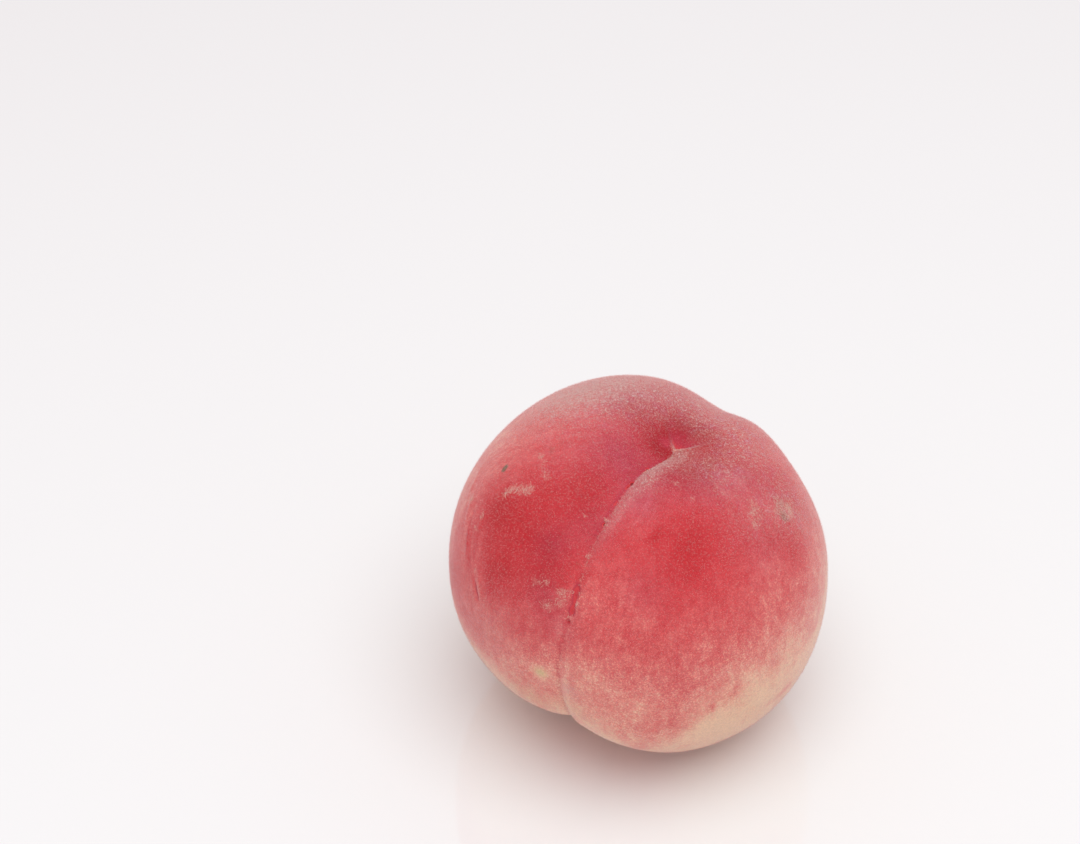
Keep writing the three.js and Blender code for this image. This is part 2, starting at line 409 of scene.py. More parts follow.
# ---------------------------------------------------------------- colour by place
# Lists of patches give compass direction, elevation, spread in degrees, and amount.

# The blush is how much red pigment the skin holds: 0 is bare cream ground, 1 is crimson.
BLUSH_FULL = 0.84
BLUSH_EDGE = 13  # elevation of the blush's lower edge on the sunny side
BLUSH_EDGE_SHADE = 30  # and how much higher it is on the far side
SUNNY_SIDE = 238
BLUSH_SOFTNESS_BELOW, BLUSH_SOFTNESS_ABOVE = 40, 26

BLUSH_PATCHES = [
    # the left lobe: its deep crimson heart, the shoulder by the tip, the pale far shoulder
    (208, 34, 13, 0.3),
    (214, 24, 6, 0.3),
    (198, 38, 6, 0.45),
    (212, 52, 11, 0.3),
    (228, 62, 8, 0.3),
    (230, 34, 7, 0.15),
    (163, 40, 22, -0.4),
    (190, 5, 12, 0.45),
    (207, -2, 8, 0.25),
    (221, 12, 8, 0.1),
    (226, -14, 9, 0.2),
    # the right lobe: its heart, the lighter band by the suture, the flecked lower half
    (284, 48, 10, 0.45),
    (240, 66, 7, -0.15),
    (246, 31, 6, -0.25),
    (246, 6, 7, -0.15),
    (261, 60, 7, -0.2),
    (260, 32, 9, -0.2),
    (255, 12, 6, -0.1),
    (285, 18, 7, -0.1),
    (303, 17, 6, 0.1),
    (278, 4, 10, 0.2),
    (274, -15, 9, 0.3),
    (259, -12, 6, 0.15),
    (292, -22, 12, -0.1),
    # the right cheek
    (330, 33, 8, 0.3),
    (314, 33, 8, -0.15),
    (332, 48, 7, -0.2),
    (332, 3, 10, 0.2),
    (343, 44, 10, 0.2),
    (6, 44, 6, -0.15),
    # round the dimple and on the far shoulders
    (355, 75, 11, 0.75),
    (320, 73, 8, 0.35),
    (328, 61, 7, -0.3),
    (37, 75, 10, 0.6),
    (110, 79, 8, 0.25),
    (5, 88, 5, 0.45),
    # low on the fruit
    (233, -0.5, 3.5, -0.25),
    (263, -18, 5, 0.12),
    (266, -26, 6, 0.15),
    (237, -8, 3.5, 0.14),
    (238, -60, 26, 0.2),
]
# Dusky red that turns toward mauve, partly painted shade: on the left lobe, down the right one's edge,
# round the dimple and on the far shoulders. The painted shade darkens the top, the dimple's hollow and
# the valley beside the suture.
DUSK_AND_SHADE_PATCHES = [
    (226, 41, 6, 0.7),
    (230, 28, 6, 0.5),
    (238, 52, 8, 0.6),
    (262, 62, 7, 0.5),
    (265, 36, 7, 0.3),
    (300, 66, 9, 0.6),
    (285, 76, 8, 0.4),
    (240, 73, 12, 0.7),
    (198, 78, 9, 0.5),
    (335, 61, 13, 0.7),
    (317, 41, 10, 0.35),
    (196, 64, 12, 0.2),
    (118, 72, 12, 0.7),
    (38, 74, 10, 0.8),
    (78, 64, 16, 0.45),
    (5, 87, 7, 0.6),
    (237, 20, 7, 0.3),
]
# Skin that looks hazy under thicker down: the far shoulders, the right cheek and beside the tip. Near
# the outline, on the far shoulders and the top, it is partly painted sheen of the down seen edge-on.
HAZE_AND_SHEEN_PATCHES = [
    (108, 56, 18, 0.9),
    (138, 57, 15, 1.0),
    (50, 56, 18, 0.7),
    (22, 78, 8, -0.4),
    (8, 58, 12, 0.5),
    (330, 68, 10, 0.45),
    (345, 38, 12, 0.5),
    (335, 44, 7, 0.25),
    (255, 66, 6, -0.3),
    (262, 68, 5, 0.35),
    (180, 38, 14, 0.1),
    (200, 60, 12, 0.1),
    (315, 48, 10, 0.2),
    (215, 8, 12, 0.2),
    (242.7, -3.5, 3, 0.45),
]
# Where the cream ground is greenish, low down and on the far side.
GREEN_PATCHES = [
    (233, -0.5, 1.9, 1.0),
    (226, -17, 8, 0.35),
    (243, -14, 5, 0.25),
    (300, -22, 20, 0.25),
    (100, -40, 40, 0.6),
    (0, -90, 26, 0.8),
]
# Pale scuffed skin.
SCUFF_PATCHES = [
    (199.4, 46.6, 2.7, 0.52),
    (202.8, 48.7, 1.9, 0.54),
    (195.8, 44.4, 1.6, 0.58),
    (195.6, 41.8, 1.1, 0.70),
    (192.6, 39.6, 1.5, 0.40),
    (201.8, 54.6, 1.8, 0.58),
    (188.2, 55.8, 2.5, 0.46),
    (195.0, 55.2, 1.8, 0.38),
    (204.4, 42.7, 1.1, 0.36),
    (231.9, 53.1, 0.45, 1.1),
    (236.6, 30.2, 2.1, 0.56),
    (237.0, 26.8, 1.8, 0.52),
    (233.0, 24.4, 2.5, 0.56),
    (230.0, 30.6, 2.6, 0.40),
    (225.5, 29.2, 2.2, 0.36),
    (258.9, 24.1, 0.8, 0.55),
    (261.3, 34.0, 0.5, 0.80),
    (260.5, 9.4, 1.3, 0.42),
    (276.1, 48.4, 1.2, 0.30),
    (287.5, 69.0, 1.7, 0.46),
    (293.8, 62.5, 2.2, 0.40),
    (288.5, 55.0, 0.5, 0.70),
    (315.7, 59.9, 2.6, 0.42),
    (318.6, 47.0, 3.0, 0.50),
    (323.7, 51.0, 3.2, 0.54),
    (336.2, 43.4, 5.2, 0.52),
    (339.3, 40.9, 2.0, 0.40),
    (299.0, 34.0, 0.9, 0.50),
    (182.5, 29.8, 1.8, 0.42),
    (193.7, 32.4, 0.9, 0.60),
    (194.6, 27.8, 1.4, 0.46),
    (203.0, 19.0, 1.2, 0.50),
]
# Grey-green blemishes, and the brown of the stalk's scar.
BLEMISH_PATCHES = [
    (183.2, 44.8, 0.8, 0.85),
    (184.0, 43.7, 0.7, 0.95),
    (183.4, 44.0, 0.9, 0.60),
    (188.5, 43.0, 2.6, 0.40),
    (195.0, 41.2, 1.6, 0.38),
    (188.3, 59.0, 2.4, 0.46),
    (194.0, 52.0, 3.0, 0.26),
    (333.8, 41.6, 2.0, 0.50),
    (337.5, 44.6, 4.6, 0.45),
    (320.0, 49.0, 4.0, 0.24),
    (222.5, 28.0, 2.4, 0.28),
    (238.3, 39.3, 1.1, 0.42),
    (0, -90, 3.6, 1.2),
]
# Where the thick down is sandy rather than lilac.
SANDY_PATCHES = [
    (100, 45, 22, 0.5),
    (180, 40, 14, 0.3),
    (138, 52, 16, 0.4),
]
# Streaks of the blush: compass direction and elevation of both ends, width in mm, amount.
BLUSH_STREAKS = [
    (265.2, 48.7, 273.5, 54.7, 2.6, 0.34),
    (276.0, 56.0, 280.0, 58.0, 1.6, 0.16),
    (206.0, 30.0, 214.0, 12.0, 3.0, 0.22),
    (197.0, 34.0, 203.0, 20.0, 1.6, -0.22),
    (190.0, 30.0, 197.0, 16.0, 1.3, 0.20),
    (186.0, 32.0, 193.0, 18.0, 1.5, -0.20),
    (180.0, 36.0, 190.0, 12.0, 1.4, 0.14),
    (247.5, 58.0, 240.8, 19.0, 2.8, -0.36),
    (236.8, 24.0, 238.6, 14.0, 2.6, -0.20),
    (289.0, -5.5, 286.8, -11.5, 1.8, 0.36),
    (296.5, -1.0, 294.5, -7.0, 1.8, 0.20),
    (309.7, -20.5, 326.0, -18.0, 3.0, 0.17),
]
STREAK_TAPER = 1

# Bands of colour along the suture: amount, mm to the right of its floor, width, and the stations
# over which they fade in and out.
RED_BANDS = [
    # the left wall, fuller toward the tip
    (0.275, -0.55, 0.75, (108, 120), (172, 181)),
    (0.275, -0.55, 0.75, (128, 152), (172, 181)),
    # the line below the torn place
    (0.36, -0.3, 0.8, (52, 70), (100, 112)),
]
PALE_BANDS = [
    # the thin lip near the tip
    (0.50, 0.45, 0.40, (158, 172), (177, 181)),
    # the broken edge above the torn place
    (0.25, 0.35, 0.40, (119, 123), (139, 143)),
]
TEAR_RED, SCRAP_PALE = 6.5, 3.6  # per mm of relief
# Folds are painted: deeper red in their creases as painted shade, and paler on their ridges as painted
# highlight, per mm of relief.
FOLD_SHADE, FOLD_HIGHLIGHT = 2.4, 1.8
HOLLOW_RED, HOLLOW_RED_EDGE = 1.05, (-0.5, 1.8)
# The deep corner at the left of the tip: amount, place, spread in degrees, and edge in mm.
CORNER_RED, CORNER_X, CORNER_Y, CORNER_SPREAD, CORNER_EDGE = 0.7, -0.01, -0.07, 3.2, (-0.4, -1.2)
# The point at the tip, and how far from it the two thin ridges stay pale.
POINT_PALE, POINT_PALE_SPREAD = 1.1, 1.0
TIP_RIDGE_PALE, TIP_RIDGE_PALE_SPREAD = 0.80, 5.5
# The band of thick down at the right of the suture: its width grows by the second value where it
# widens, and its middle lies at a share of the width.
BLOOM_AMOUNT, BLOOM_WIDTH, BLOOM_WIDER, BLOOM_MIDDLE = 0.78, 1.6, 1.4, 0.7
BLOOM_WIDENS, BLOOM_EDGE, BLOOM_START, BLOOM_END = (135, 165), (-0.3, 0.5), (124, 164), (180, 196)


def patches(rows, direction):
    return sum(amount * bell(from_direction(direction, a, e), spread) for a, e, spread, amount in rows)


def bands(rows, station, across):
    total = 0
    for amount, aside, width, start, end in rows:
        total = total + amount * bell(across - aside, width) * between(station, start, end)
    return total


def blush(direction):
    """Red pigment by direction, before the fine mottling."""
    azimuth = np.degrees(np.arctan2(direction[:, 1], direction[:, 0]))
    elevation = np.degrees(np.arcsin(np.clip(direction[:, 2], -1, 1)))
    shade = (1 - np.cos(np.radians(azimuth - SUNNY_SIDE))) / 2
    edge = BLUSH_EDGE + BLUSH_EDGE_SHADE * shade * np.sqrt(np.cos(np.radians(elevation)))
    cover = smoothstep(edge - BLUSH_SOFTNESS_BELOW, edge + BLUSH_SOFTNESS_ABOVE, elevation)
    streaks = lines(BLUSH_STREAKS, direction, STREAK_TAPER)
    return BLUSH_FULL * cover + patches(BLUSH_PATCHES, direction) + streaks


def suture_red(x, y, z):
    """The bare crimson of the tears, the suture's left wall and the hollow behind the tip."""
    station, across = suture_place(x, y, z)
    inside, from_tip = tip_wedge(x, y, z)
    along_suture = TEAR_RED * beside_suture(TEARS, station, across) + bands(RED_BANDS, station, across)
    hollow = HOLLOW_RED * smoothstep(*HOLLOW_RED_EDGE, inside) * bell(from_tip, HOLLOW_REACH)
    from_corner = np.degrees(np.hypot(x - CORNER_X, y - CORNER_Y))
    corner = CORNER_RED * bell(from_corner, CORNER_SPREAD) * smoothstep(*CORNER_EDGE, y * HALF_WIDTH)
    return along_suture + hollow + corner


def suture_pale(x, y, z):
    """The lifted scraps along the suture, its thin lips, and the tip's point and ridges."""
    station, across = suture_place(x, y, z)
    from_tip = np.degrees(np.arccos(np.clip(z, -1, 1)))
    point = POINT_PALE * bell(from_tip, POINT_PALE_SPREAD)
    ridges = TIP_RIDGE_PALE * tip_ridges(x, y, z) * bell(from_tip, TIP_RIDGE_PALE_SPREAD)
    scraps = SCRAP_PALE * beside_suture(SCRAPS, station, across)
    return scraps + bands(PALE_BANDS, station, across) + ridges + point


def suture_bloom(x, y, z):
    """Thicker down on the shoulder to the right of the suture, widest near the tip."""
    station, across = suture_place(x, y, z)
    width = BLOOM_WIDTH + BLOOM_WIDER * smoothstep(*BLOOM_WIDENS, station)
    band = bell(across - BLOOM_MIDDLE * width, width) * smoothstep(*BLOOM_EDGE, across)
    return BLOOM_AMOUNT * band * between(station, BLOOM_START, BLOOM_END)


# ---------------------------------------------------------------- the skin
STRAND_SHARE = 0.42  # how much shorter the streaks' pattern is laid along their length


def add_values(mesh, name, values):
    attribute = mesh.attributes.new(name, "FLOAT", "POINT")
    attribute.data.foreach_set("value", values.astype(np.float32))


def add_strands(mesh, polar, turn):
    """Where each point lies for the streaks that run from tip to stem, in mm."""
    t = np.radians(turn)
    lengthways = polar * DEGREE_MM * STRAND_SHARE
    places = np.stack([HALF_WIDTH * np.cos(t), HALF_WIDTH * np.sin(t), lengthways], -1)
    strands = mesh.attributes.new("strands", "FLOAT_VECTOR", "POINT")
    strands.data.foreach_set("vector", places.astype(np.float32).ravel())


def add_colour_values(mesh, polar, turn, direction):
    """Give each point of the skin the values that its material is made from."""
    x, y, z = fruit_direction(polar, turn)
    bloom = suture_bloom(x, y, z)
    creases = folds(direction)
    add_values(mesh, "blush", blush(direction))
    add_values(mesh, "dusk_and_shade", patches(DUSK_AND_SHADE_PATCHES, direction))
    add_values(mesh, "green", patches(GREEN_PATCHES, direction))
    # The haze is partly painted sheen of the down near the outline.
    add_values(mesh, "haze_and_sheen", patches(HAZE_AND_SHEEN_PATCHES, direction) + bloom)
    add_values(mesh, "sandy", patches(SANDY_PATCHES, direction) + bloom)
    # The folds' creases add painted shade to the bare red, and their ridges add painted highlight to the
    # pale marks.
    add_values(mesh, "bare_red_and_shade", suture_red(x, y, z) + FOLD_SHADE * np.maximum(creases, 0))
    pale_and_highlight = patches(SCUFF_PATCHES, direction) + suture_pale(x, y, z) + FOLD_HIGHLIGHT * np.maximum(-creases, 0)
    add_values(mesh, "pale_and_highlight", pale_and_highlight)
    add_values(mesh, "blemish", patches(BLEMISH_PATCHES, direction))
    add_strands(mesh, polar, turn)


def make_skin_mesh():
    """The skin round the middle of the node's box, and the core's place in metres."""
    polar, turn = np.meshgrid(ring_angles(), column_angles(), indexing="ij")
    polar = np.concatenate([[0.0], polar.ravel(), [180.0]])
    turn = np.concatenate([[0.0], turn.ravel(), [0.0]])
    points, direction = skin_points(polar, turn)
    middle = (points.max(0) + points.min(0)) / 2
    low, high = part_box("peach")
    node_middle = (np.array(low) + np.array(high)) / 2
    core = np.array([*(node_middle[:2] - middle[:2] * MM), CORE_HEIGHT * MM])
    points = points * MM + core
    points[:, 2] = np.maximum(points[:, 2], low[2])
    mesh = bpy.data.meshes.new("skin")
    mesh.from_pydata(points.tolist(), [], [tuple(int(i) for i in face) for face in grid_faces()])
    mesh.polygons.foreach_set("use_smooth", [True] * len(mesh.polygons))
    mesh.update()
    add_colour_values(mesh, polar, turn, direction)
    return mesh, core


# ---------------------------------------------------------------- materials
class Nodes:
    """A material's node tree, with short ways to add a node and wire its inputs."""

    def __init__(self, name):
        self.material = bpy.data.materials.new(name)
        self.material.use_nodes = True
        self.tree = self.material.node_tree
        self.shader = self.tree.nodes["Principled BSDF"]

    def feed(self, socket, value):
        """Wire another node's output into a socket, or set the socket to a plain value."""
        if isinstance(value, bpy.types.NodeSocket):
            self.tree.links.new(value, socket)
        else:
            socket.default_value = value

    def set_shader(self, inputs):
        """Set the shader's inputs, which finishes the material."""
        for key, value in inputs.items():
            self.feed(self.shader.inputs[key], value)
        return self.material

    def add(self, kind, inputs=(), **settings):
        node = self.tree.nodes.new("ShaderNode" + kind)
        for key, value in settings.items():
            setattr(node, key, value)
        for key, value in dict(inputs).items():
            self.feed(node.inputs[key], value)
        return node

    def math(self, operation, a, b=0.0, c=0.0):
        return self.add("Math", {0: a, 1: b, 2: c}, operation=operation).outputs[0]

    def times(self, a, b):
        return self.math("MULTIPLY", a, b)

    def times_plus(self, a, b, c):
        return self.math("MULTIPLY_ADD", a, b, c)

    def value(self, name):
        return self.add("Attribute", attribute_name=name).outputs["Fac"]

    def noise(self, place, scale, detail, roughness, distortion=0.0):
        inputs = {"Vector": place, "Scale": scale, "Detail": detail, "Roughness": roughness}
        return self.add("TexNoise", {**inputs, "Distortion": distortion}).outputs["Fac"]

    def waver(self, place, *settings):
        """Noise about zero."""
        return self.math("SUBTRACT", self.noise(place, *settings), 0.5)

    def remap(self, value, low, high, to_low=0.0, to_high=1.0):
        inputs = {"Value": value, "From Min": low, "From Max": high, "To Min": to_low, "To Max": to_high}
        return self.add("MapRange", inputs, interpolation_type="SMOOTHSTEP").outputs[0]

    def mix(self, share, a, b, blend="MIX"):
        return self.add("Mix", {0: share, 6: a, 7: b}, data_type="RGBA", blend_type=blend).outputs[2]

    def ramp(self, value, stops):
        node = self.add("ValToRGB", {"Fac": value})
        elements = node.color_ramp.elements
        while len(elements) < len(stops):
            elements.new(0.5)
        for element, (position, colour) in zip(elements, stops):
            element.position = position
            element.color = (*colour, 1)
        return node.outputs["Color"]


# Skin colours. The red pigment absorbs each colour of light by its own amount.
GROUND = np.array([0.875, 0.565, 0.405])
PIGMENT_ABSORBS = np.array([0.42, 2.90, 2.30])
PIGMENT_RANGE = 1.4
PIGMENT_STEPS = 8
SANDY_HAZE_COLOUR = (0.56, 0.37, 0.33, 1)
LILAC_HAZE_COLOUR = (0.52, 0.31, 0.37, 1)
DOWN_COLOUR = (0.80, 0.56, 0.52, 1)
SCUFF_COLOUR = (0.71, 0.41, 0.34, 1)
BLEMISH_COLOUR = (0.15, 0.12, 0.07, 1)
BARE_RED_AND_SHADE_COLOUR = (0.47, 0.032, 0.060, 1)
TEAR_COLOUR = (0.63, 0.052, 0.062, 1)
# Painted shade at the bottom of the deepest pits.
PIT_SHADE_COLOUR = (0.24, 0.010, 0.016, 1)
GREEN_COLOUR = (0.70, 0.50, 0.27, 1)
# Dusky mauve that is partly painted shade on the top and in the hollows.
DUSK_AND_SHADE_COLOUR = (0.72, 0.62, 0.95, 1)

# Patterns of noise: scale per mm, detail, roughness, and distortion.
CLOUDS = (0.11, 3, 0.55, 0.6)
MOTTLE = (0.42, 5, 0.62, 0.8)
STREAKS = (0.42, 4, 0.6, 0.4)
GRAIN = (2.7, 2, 0.6)
SPECKS = (2.7, 2, 0.55)
TUFTS = (1.1, 3, 0.6)
LILAC_CLOUDS = (0.4, 3, 0.6)
RAGGED = (0.75, 5, 0.72)
CURLS = (0.95, 2, 0.6, 1.8)
# Painted shade: a fine grain for the tiny shadows between the down's hairs.
DOWN_SHADOW_GRAIN = (2.1, 3, 0.75)
BUMPS = (1.8, 4, 0.7)

# How much each pattern changes the pigment.
CLOUDS_SHARE, MOTTLE_SHARE, STREAKS_SHARE, GRAIN_SHARE = 0.42, 0.6, 0.55, 1.25
# A range says where it starts and ends, and the values there, which are 0 and 1 if it doesn't say.
# The patterns are weaker on bare ground and in full blush, and the green shows only where there is
# little pigment.
BREAKUP_FROM_BARE = (0.0, 0.45, 0.45, 1.0)
BREAKUP_TO_FULL = (0.55, 1.1, 1.0, 0.45)
GREEN_FADES = (0.1, 0.7, 1.0, 0.0)

# The down: what counts as a light speck, how tufts vary it, how much of the veil is specks and how
# much is even, and the single dots in hazy and in clear skin.
LIGHT_SPECKS = (0.50, 0.68)
TUFTS_RANGE = (0.35, 0.65, 0.55, 1.25)
VEIL_SPECKS, VEIL_EVEN = 0.85, 0.42
DOTS_IN_HAZE, DOTS_IN_CLEAR_SKIN = 0.19, 0.12
LILAC_RANGE = (0.42, 0.66)
SANDY_HIDES_LILAC = (0.0, 0.35, 1.0, 0.0)

# Marks: how ragged each is, and the range over which it shows.
BLEMISH_RAGGED, BLEMISH_RANGE = 0.9, (0.22, 1.0, 0.0, 0.88)
PALE_RAGGED, PALE_RANGE = 1.3, (0.22, 0.75)
THREAD_RANGE = (0.0, 0.055, 1.0, 0.0)
THREAD_SHARE, BETWEEN_THREADS = 0.60, 0.14
SOLID_PALE_RANGE = (0.75, 1.0, 0.0, 0.7)
RED_RAGGED, RED_GRAIN = 0.7, 0.4
BARE_RED_AND_SHADE_RANGE = (0.15, 0.8, 0.0, 0.92)
TEAR_RANGE = (0.65, 1.00)
PIT_SHADE_RANGE = (1.3, 2.3, 0.0, 0.85)

# How far the painted shade of the down's tiny shadows darkens and lightens the colour.
DOWN_SHADOW_GRAIN_RANGE = (0.3, 0.7, 0.89, 1.10)
ROUGHNESS_RANGE = (-0.3, 0.3, 0.55, 0.68)
BUMP_STRENGTH, BUMP_HEIGHT = 0.6, 0.0003
SKIN_FINISH = {
    "Specular IOR Level": 0.25,
    "Subsurface Weight": 0.25,
    "Subsurface Radius": (1.0, 0.4, 0.25),
    "Subsurface Scale": 0.0015,
    "Sheen Weight": 0.46,
    "Sheen Roughness": 0.3,
    "Sheen Tint": (1.0, 0.88, 0.88, 1),
}


def pigment_stops():
    """Cream ground seen through more and more red pigment."""
    stops = []
    for i in range(PIGMENT_STEPS):
        share = i / (PIGMENT_STEPS - 1)
        stops.append((share, tuple(GROUND * np.exp(-PIGMENT_ABSORBS * share * PIGMENT_RANGE))))
    return stops


def pigment_colour(n, mm, mottle, grain):
    """Cream ground, red pigment that breaks up into streaks and flecks, green ground, and dusky mauve
    that is partly painted shade.
    """
    base = n.value("blush")
    strands = n.add("Attribute", attribute_name="strands").outputs["Vector"]
    breakup = n.times(n.remap(base, *BREAKUP_FROM_BARE), n.remap(base, *BREAKUP_TO_FULL))
    amount = n.times_plus(n.waver(mm, *CLOUDS), CLOUDS_SHARE, base)
    amount = n.times_plus(n.times(mottle, breakup), MOTTLE_SHARE, amount)
    amount = n.times_plus(n.times(n.waver(strands, *STREAKS), breakup), STREAKS_SHARE, amount)
    amount = n.times_plus(n.times(grain, breakup), GRAIN_SHARE, amount)
    colour = n.ramp(n.math("DIVIDE", amount, PIGMENT_RANGE), pigment_stops())
    green = n.times(n.value("green"), n.remap(amount, *GREEN_FADES))
    colour = n.mix(green, colour, GREEN_COLOUR)
    # The dusky mauve is partly painted shade, darkening the top, the dimple's hollow and the valley
    # beside the suture.
    return n.mix(n.value("dusk_and_shade"), colour, DUSK_AND_SHADE_COLOUR, "MULTIPLY")


def under_down(n, mm, colour):
    """The down lies over the colour as a fine pale speckle, thicker where the skin is hazy; near the
    outline that haze is partly painted sheen.
    """
    light_specks = n.remap(n.noise(mm, *SPECKS), *LIGHT_SPECKS)
    haze_and_sheen = n.value("haze_and_sheen")
    thickness = n.times(haze_and_sheen, n.remap(n.noise(mm, *TUFTS), *TUFTS_RANGE))
    veil = n.times(thickness, n.times_plus(light_specks, VEIL_SPECKS, VEIL_EVEN))
    lilac = n.remap(n.noise(mm, *LILAC_CLOUDS), *LILAC_RANGE)
    lilac = n.times(lilac, n.remap(n.value("sandy"), *SANDY_HIDES_LILAC))
    colour = n.mix(veil, colour, n.mix(lilac, SANDY_HAZE_COLOUR, LILAC_HAZE_COLOUR))
    dots = n.times(light_specks, n.times_plus(haze_and_sheen, DOTS_IN_HAZE, DOTS_IN_CLEAR_SKIN))
    return n.mix(dots, colour, DOWN_COLOUR)


def under_marks(n, mm, grain, colour):
    """Marks have ragged edges. The pale ones are curled threads and include the painted highlight on
    fold ridges; the red ones include the painted shade in fold creases and darken to painted shade in
    the deepest pits.
    """
    ragged = n.waver(mm, *RAGGED)
    blemish = n.times_plus(ragged, BLEMISH_RAGGED, n.value("blemish"))
    colour = n.mix(n.remap(blemish, *BLEMISH_RANGE), colour, BLEMISH_COLOUR)
    threads = n.remap(n.math("ABSOLUTE", n.waver(mm, *CURLS)), *THREAD_RANGE)
    pale_and_highlight = n.value("pale_and_highlight")
    shown = n.remap(n.times_plus(ragged, PALE_RAGGED, pale_and_highlight), *PALE_RANGE)
    torn = n.times(shown, n.times_plus(threads, THREAD_SHARE, BETWEEN_THREADS))
    colour = n.mix(torn, colour, SCUFF_COLOUR)
    colour = n.mix(n.remap(pale_and_highlight, *SOLID_PALE_RANGE), colour, SCUFF_COLOUR)
    # In the folds' creases the bare red is painted shade.
    red = n.times_plus(ragged, RED_RAGGED, n.times_plus(grain, RED_GRAIN, n.value("bare_red_and_shade")))
    colour = n.mix(n.remap(red, *BARE_RED_AND_SHADE_RANGE), colour, BARE_RED_AND_SHADE_COLOUR)
    colour = n.mix(n.remap(red, *TEAR_RANGE), colour, TEAR_COLOUR)
    # The deepest pits darken to painted shade.
    return n.mix(n.remap(red, *PIT_SHADE_RANGE), colour, PIT_SHADE_COLOUR)


def make_skin_material():
    n = Nodes("downy_skin")
    place = n.add("TexCoord").outputs["Object"]
    mm = n.add("VectorMath", {0: place, 1: (1 / MM,) * 3}, operation="MULTIPLY").outputs[0]
    mottle = n.waver(mm, *MOTTLE)
    grain = n.waver(mm, *GRAIN)
    colour = pigment_colour(n, mm, mottle, grain)
    colour = under_down(n, mm, colour)
    colour = under_marks(n, mm, grain, colour)
    # Painted shade: the colour darkens and lightens in a fine grain, for the tiny shadows between the
    # down's hairs.
    down_shadow_grain = n.remap(n.noise(mm, *DOWN_SHADOW_GRAIN), *DOWN_SHADOW_GRAIN_RANGE)
    colour = n.add("VectorMath", {0: colour, 3: down_shadow_grain}, operation="SCALE").outputs[0]
    bumps = {"Height": n.noise(mm, *BUMPS), "Strength": BUMP_STRENGTH, "Distance": BUMP_HEIGHT}
    inputs = {
        "Base Color": colour,
        "Roughness": n.remap(mottle, *ROUGHNESS_RANGE),
        "Normal": n.add("Bump", bumps).outputs[0],
    }
    return n.set_shader({**inputs, **SKIN_FINISH})


# ---------------------------------------------------------------- the down
# Lengths are in mm, and angles in radians.

DOWN_PIECES = 4
HAIRS_PER_PIECE = 47000
HAIR_LENGTH = (0.18, 0.50)
HAIR_WIDTH = (0.022, 0.040)
HAIRS_IN_CLEAR_SKIN, HAIRS_IN_HAZE = 0.5, 1.1  # how thickly they stand
HAIR_LEAN = 0.75
HAIR_ROOT_DEPTH = 0.03
HAIR_FACES = [(0, 1, 2), (0, 2, 3), (0, 3, 1), (1, 3, 2)]
HAIR_COLOUR = (0.78, 0.52, 0.50, 1)
BARE_BELOW = 0.0012  # metres above the surface that the fruit stands on

# Threads of dry skin lie where the skin is paler than the first share, and lie no thicker once it
# is paler by the second. Their radius, in shares of the width, is given at the ends and then how
# much more it is at the middle.
SCURF_FROM, SCURF_RANGE = 0.28, 0.4
SCURF_COUNT = 600
SCURF_LENGTH = (0.3, 1.3)
SCURF_WIDTH = (0.05, 0.11)
SCURF_LIFT = (0.0, 0.06)
SCURF_CURL = 2.6  # the most that a thread turns along its length
SCURF_STEPS = 7
SCURF_END_RADIUS, SCURF_SWELL = 0.08, 0.42
SCURF_COLOUR = (0.70, 0.43, 0.36, 1)


def vertex_vectors(mesh, name):
    values = np.empty(len(mesh.vertices) * 3)
    mesh.vertices.foreach_get(name, values)
    return values.reshape(-1, 3)


def skin_surface(mesh):
    """The corners of every triangle, and the place and the way out at every vertex."""
    mesh.calc_loop_triangles()
    corners = np.empty(len(mesh.loop_triangles) * 3, int)
    mesh.loop_triangles.foreach_get("vertices", corners)
    return corners.reshape(-1, 3), vertex_vectors(mesh, "co"), vertex_vectors(mesh, "normal")


def triangle_sizes(surface):
    """In proportion to each triangle's area."""
    corners, points, _ = surface
    a, b, c = (points[corners[:, i]] for i in range(3))
    return np.linalg.norm(np.cross(b - a, c - a), axis=1)


def triangle_values(mesh, name, corners):
    """The mean of a value over each triangle's corners."""
    values = np.empty(len(mesh.vertices), np.float32)
    mesh.attributes[name].data.foreach_get("value", values)
    return values[corners].mean(1)


def hair_shares(mesh, surface):
    """Each triangle's share of the hairs: none at the foot, and more where the skin is hazy."""
    corners, points, _ = surface
    haze_and_sheen, bare_and_shade = (np.clip(triangle_values(mesh, name, corners), 0, 1) for name in ("haze_and_sheen", "bare_red_and_shade"))
    thickness = (HAIRS_IN_CLEAR_SKIN + HAIRS_IN_HAZE * haze_and_sheen) * (1 - bare_and_shade)
    above_foot = points[corners, 2].mean(1) > BARE_BELOW
    shares = triangle_sizes(surface) * thickness * above_foot
    return shares / shares.sum()


def scurf_shares(mesh, surface):
    """Each triangle's share of the threads, which lie on the scuffs."""
    paleness = triangle_values(mesh, "pale_and_highlight", surface[0])
    shares = triangle_sizes(surface) * np.clip(paleness - SCURF_FROM, 0, SCURF_RANGE)
    return shares / shares.sum()


def unit(vectors):
    return vectors / np.linalg.norm(vectors, axis=-1, keepdims=True)


def scattered(count, surface, shares, rng):
    """Points spread over the skin, with the way out from it at each."""
    corners, points, normals = surface
    picked = corners[rng.choice(len(corners), count, p=shares)]
    u, v = rng.random((2, count))
    outside = u + v > 1
    u, v = np.where(outside, 1 - u, u), np.where(outside, 1 - v, v)
    weights = np.stack([1 - u - v, u, v], 1)[..., None]
    return (points[picked] * weights).sum(1), unit((normals[picked] * weights).sum(1))


def drawn(rng, limits, count):
    """A column of random numbers between two limits."""
    return rng.uniform(*limits, count)[:, None]


def sideways(ahead, rng):
    """A random direction square to each one given."""
    return unit(np.cross(ahead, rng.normal(size=ahead.shape)))


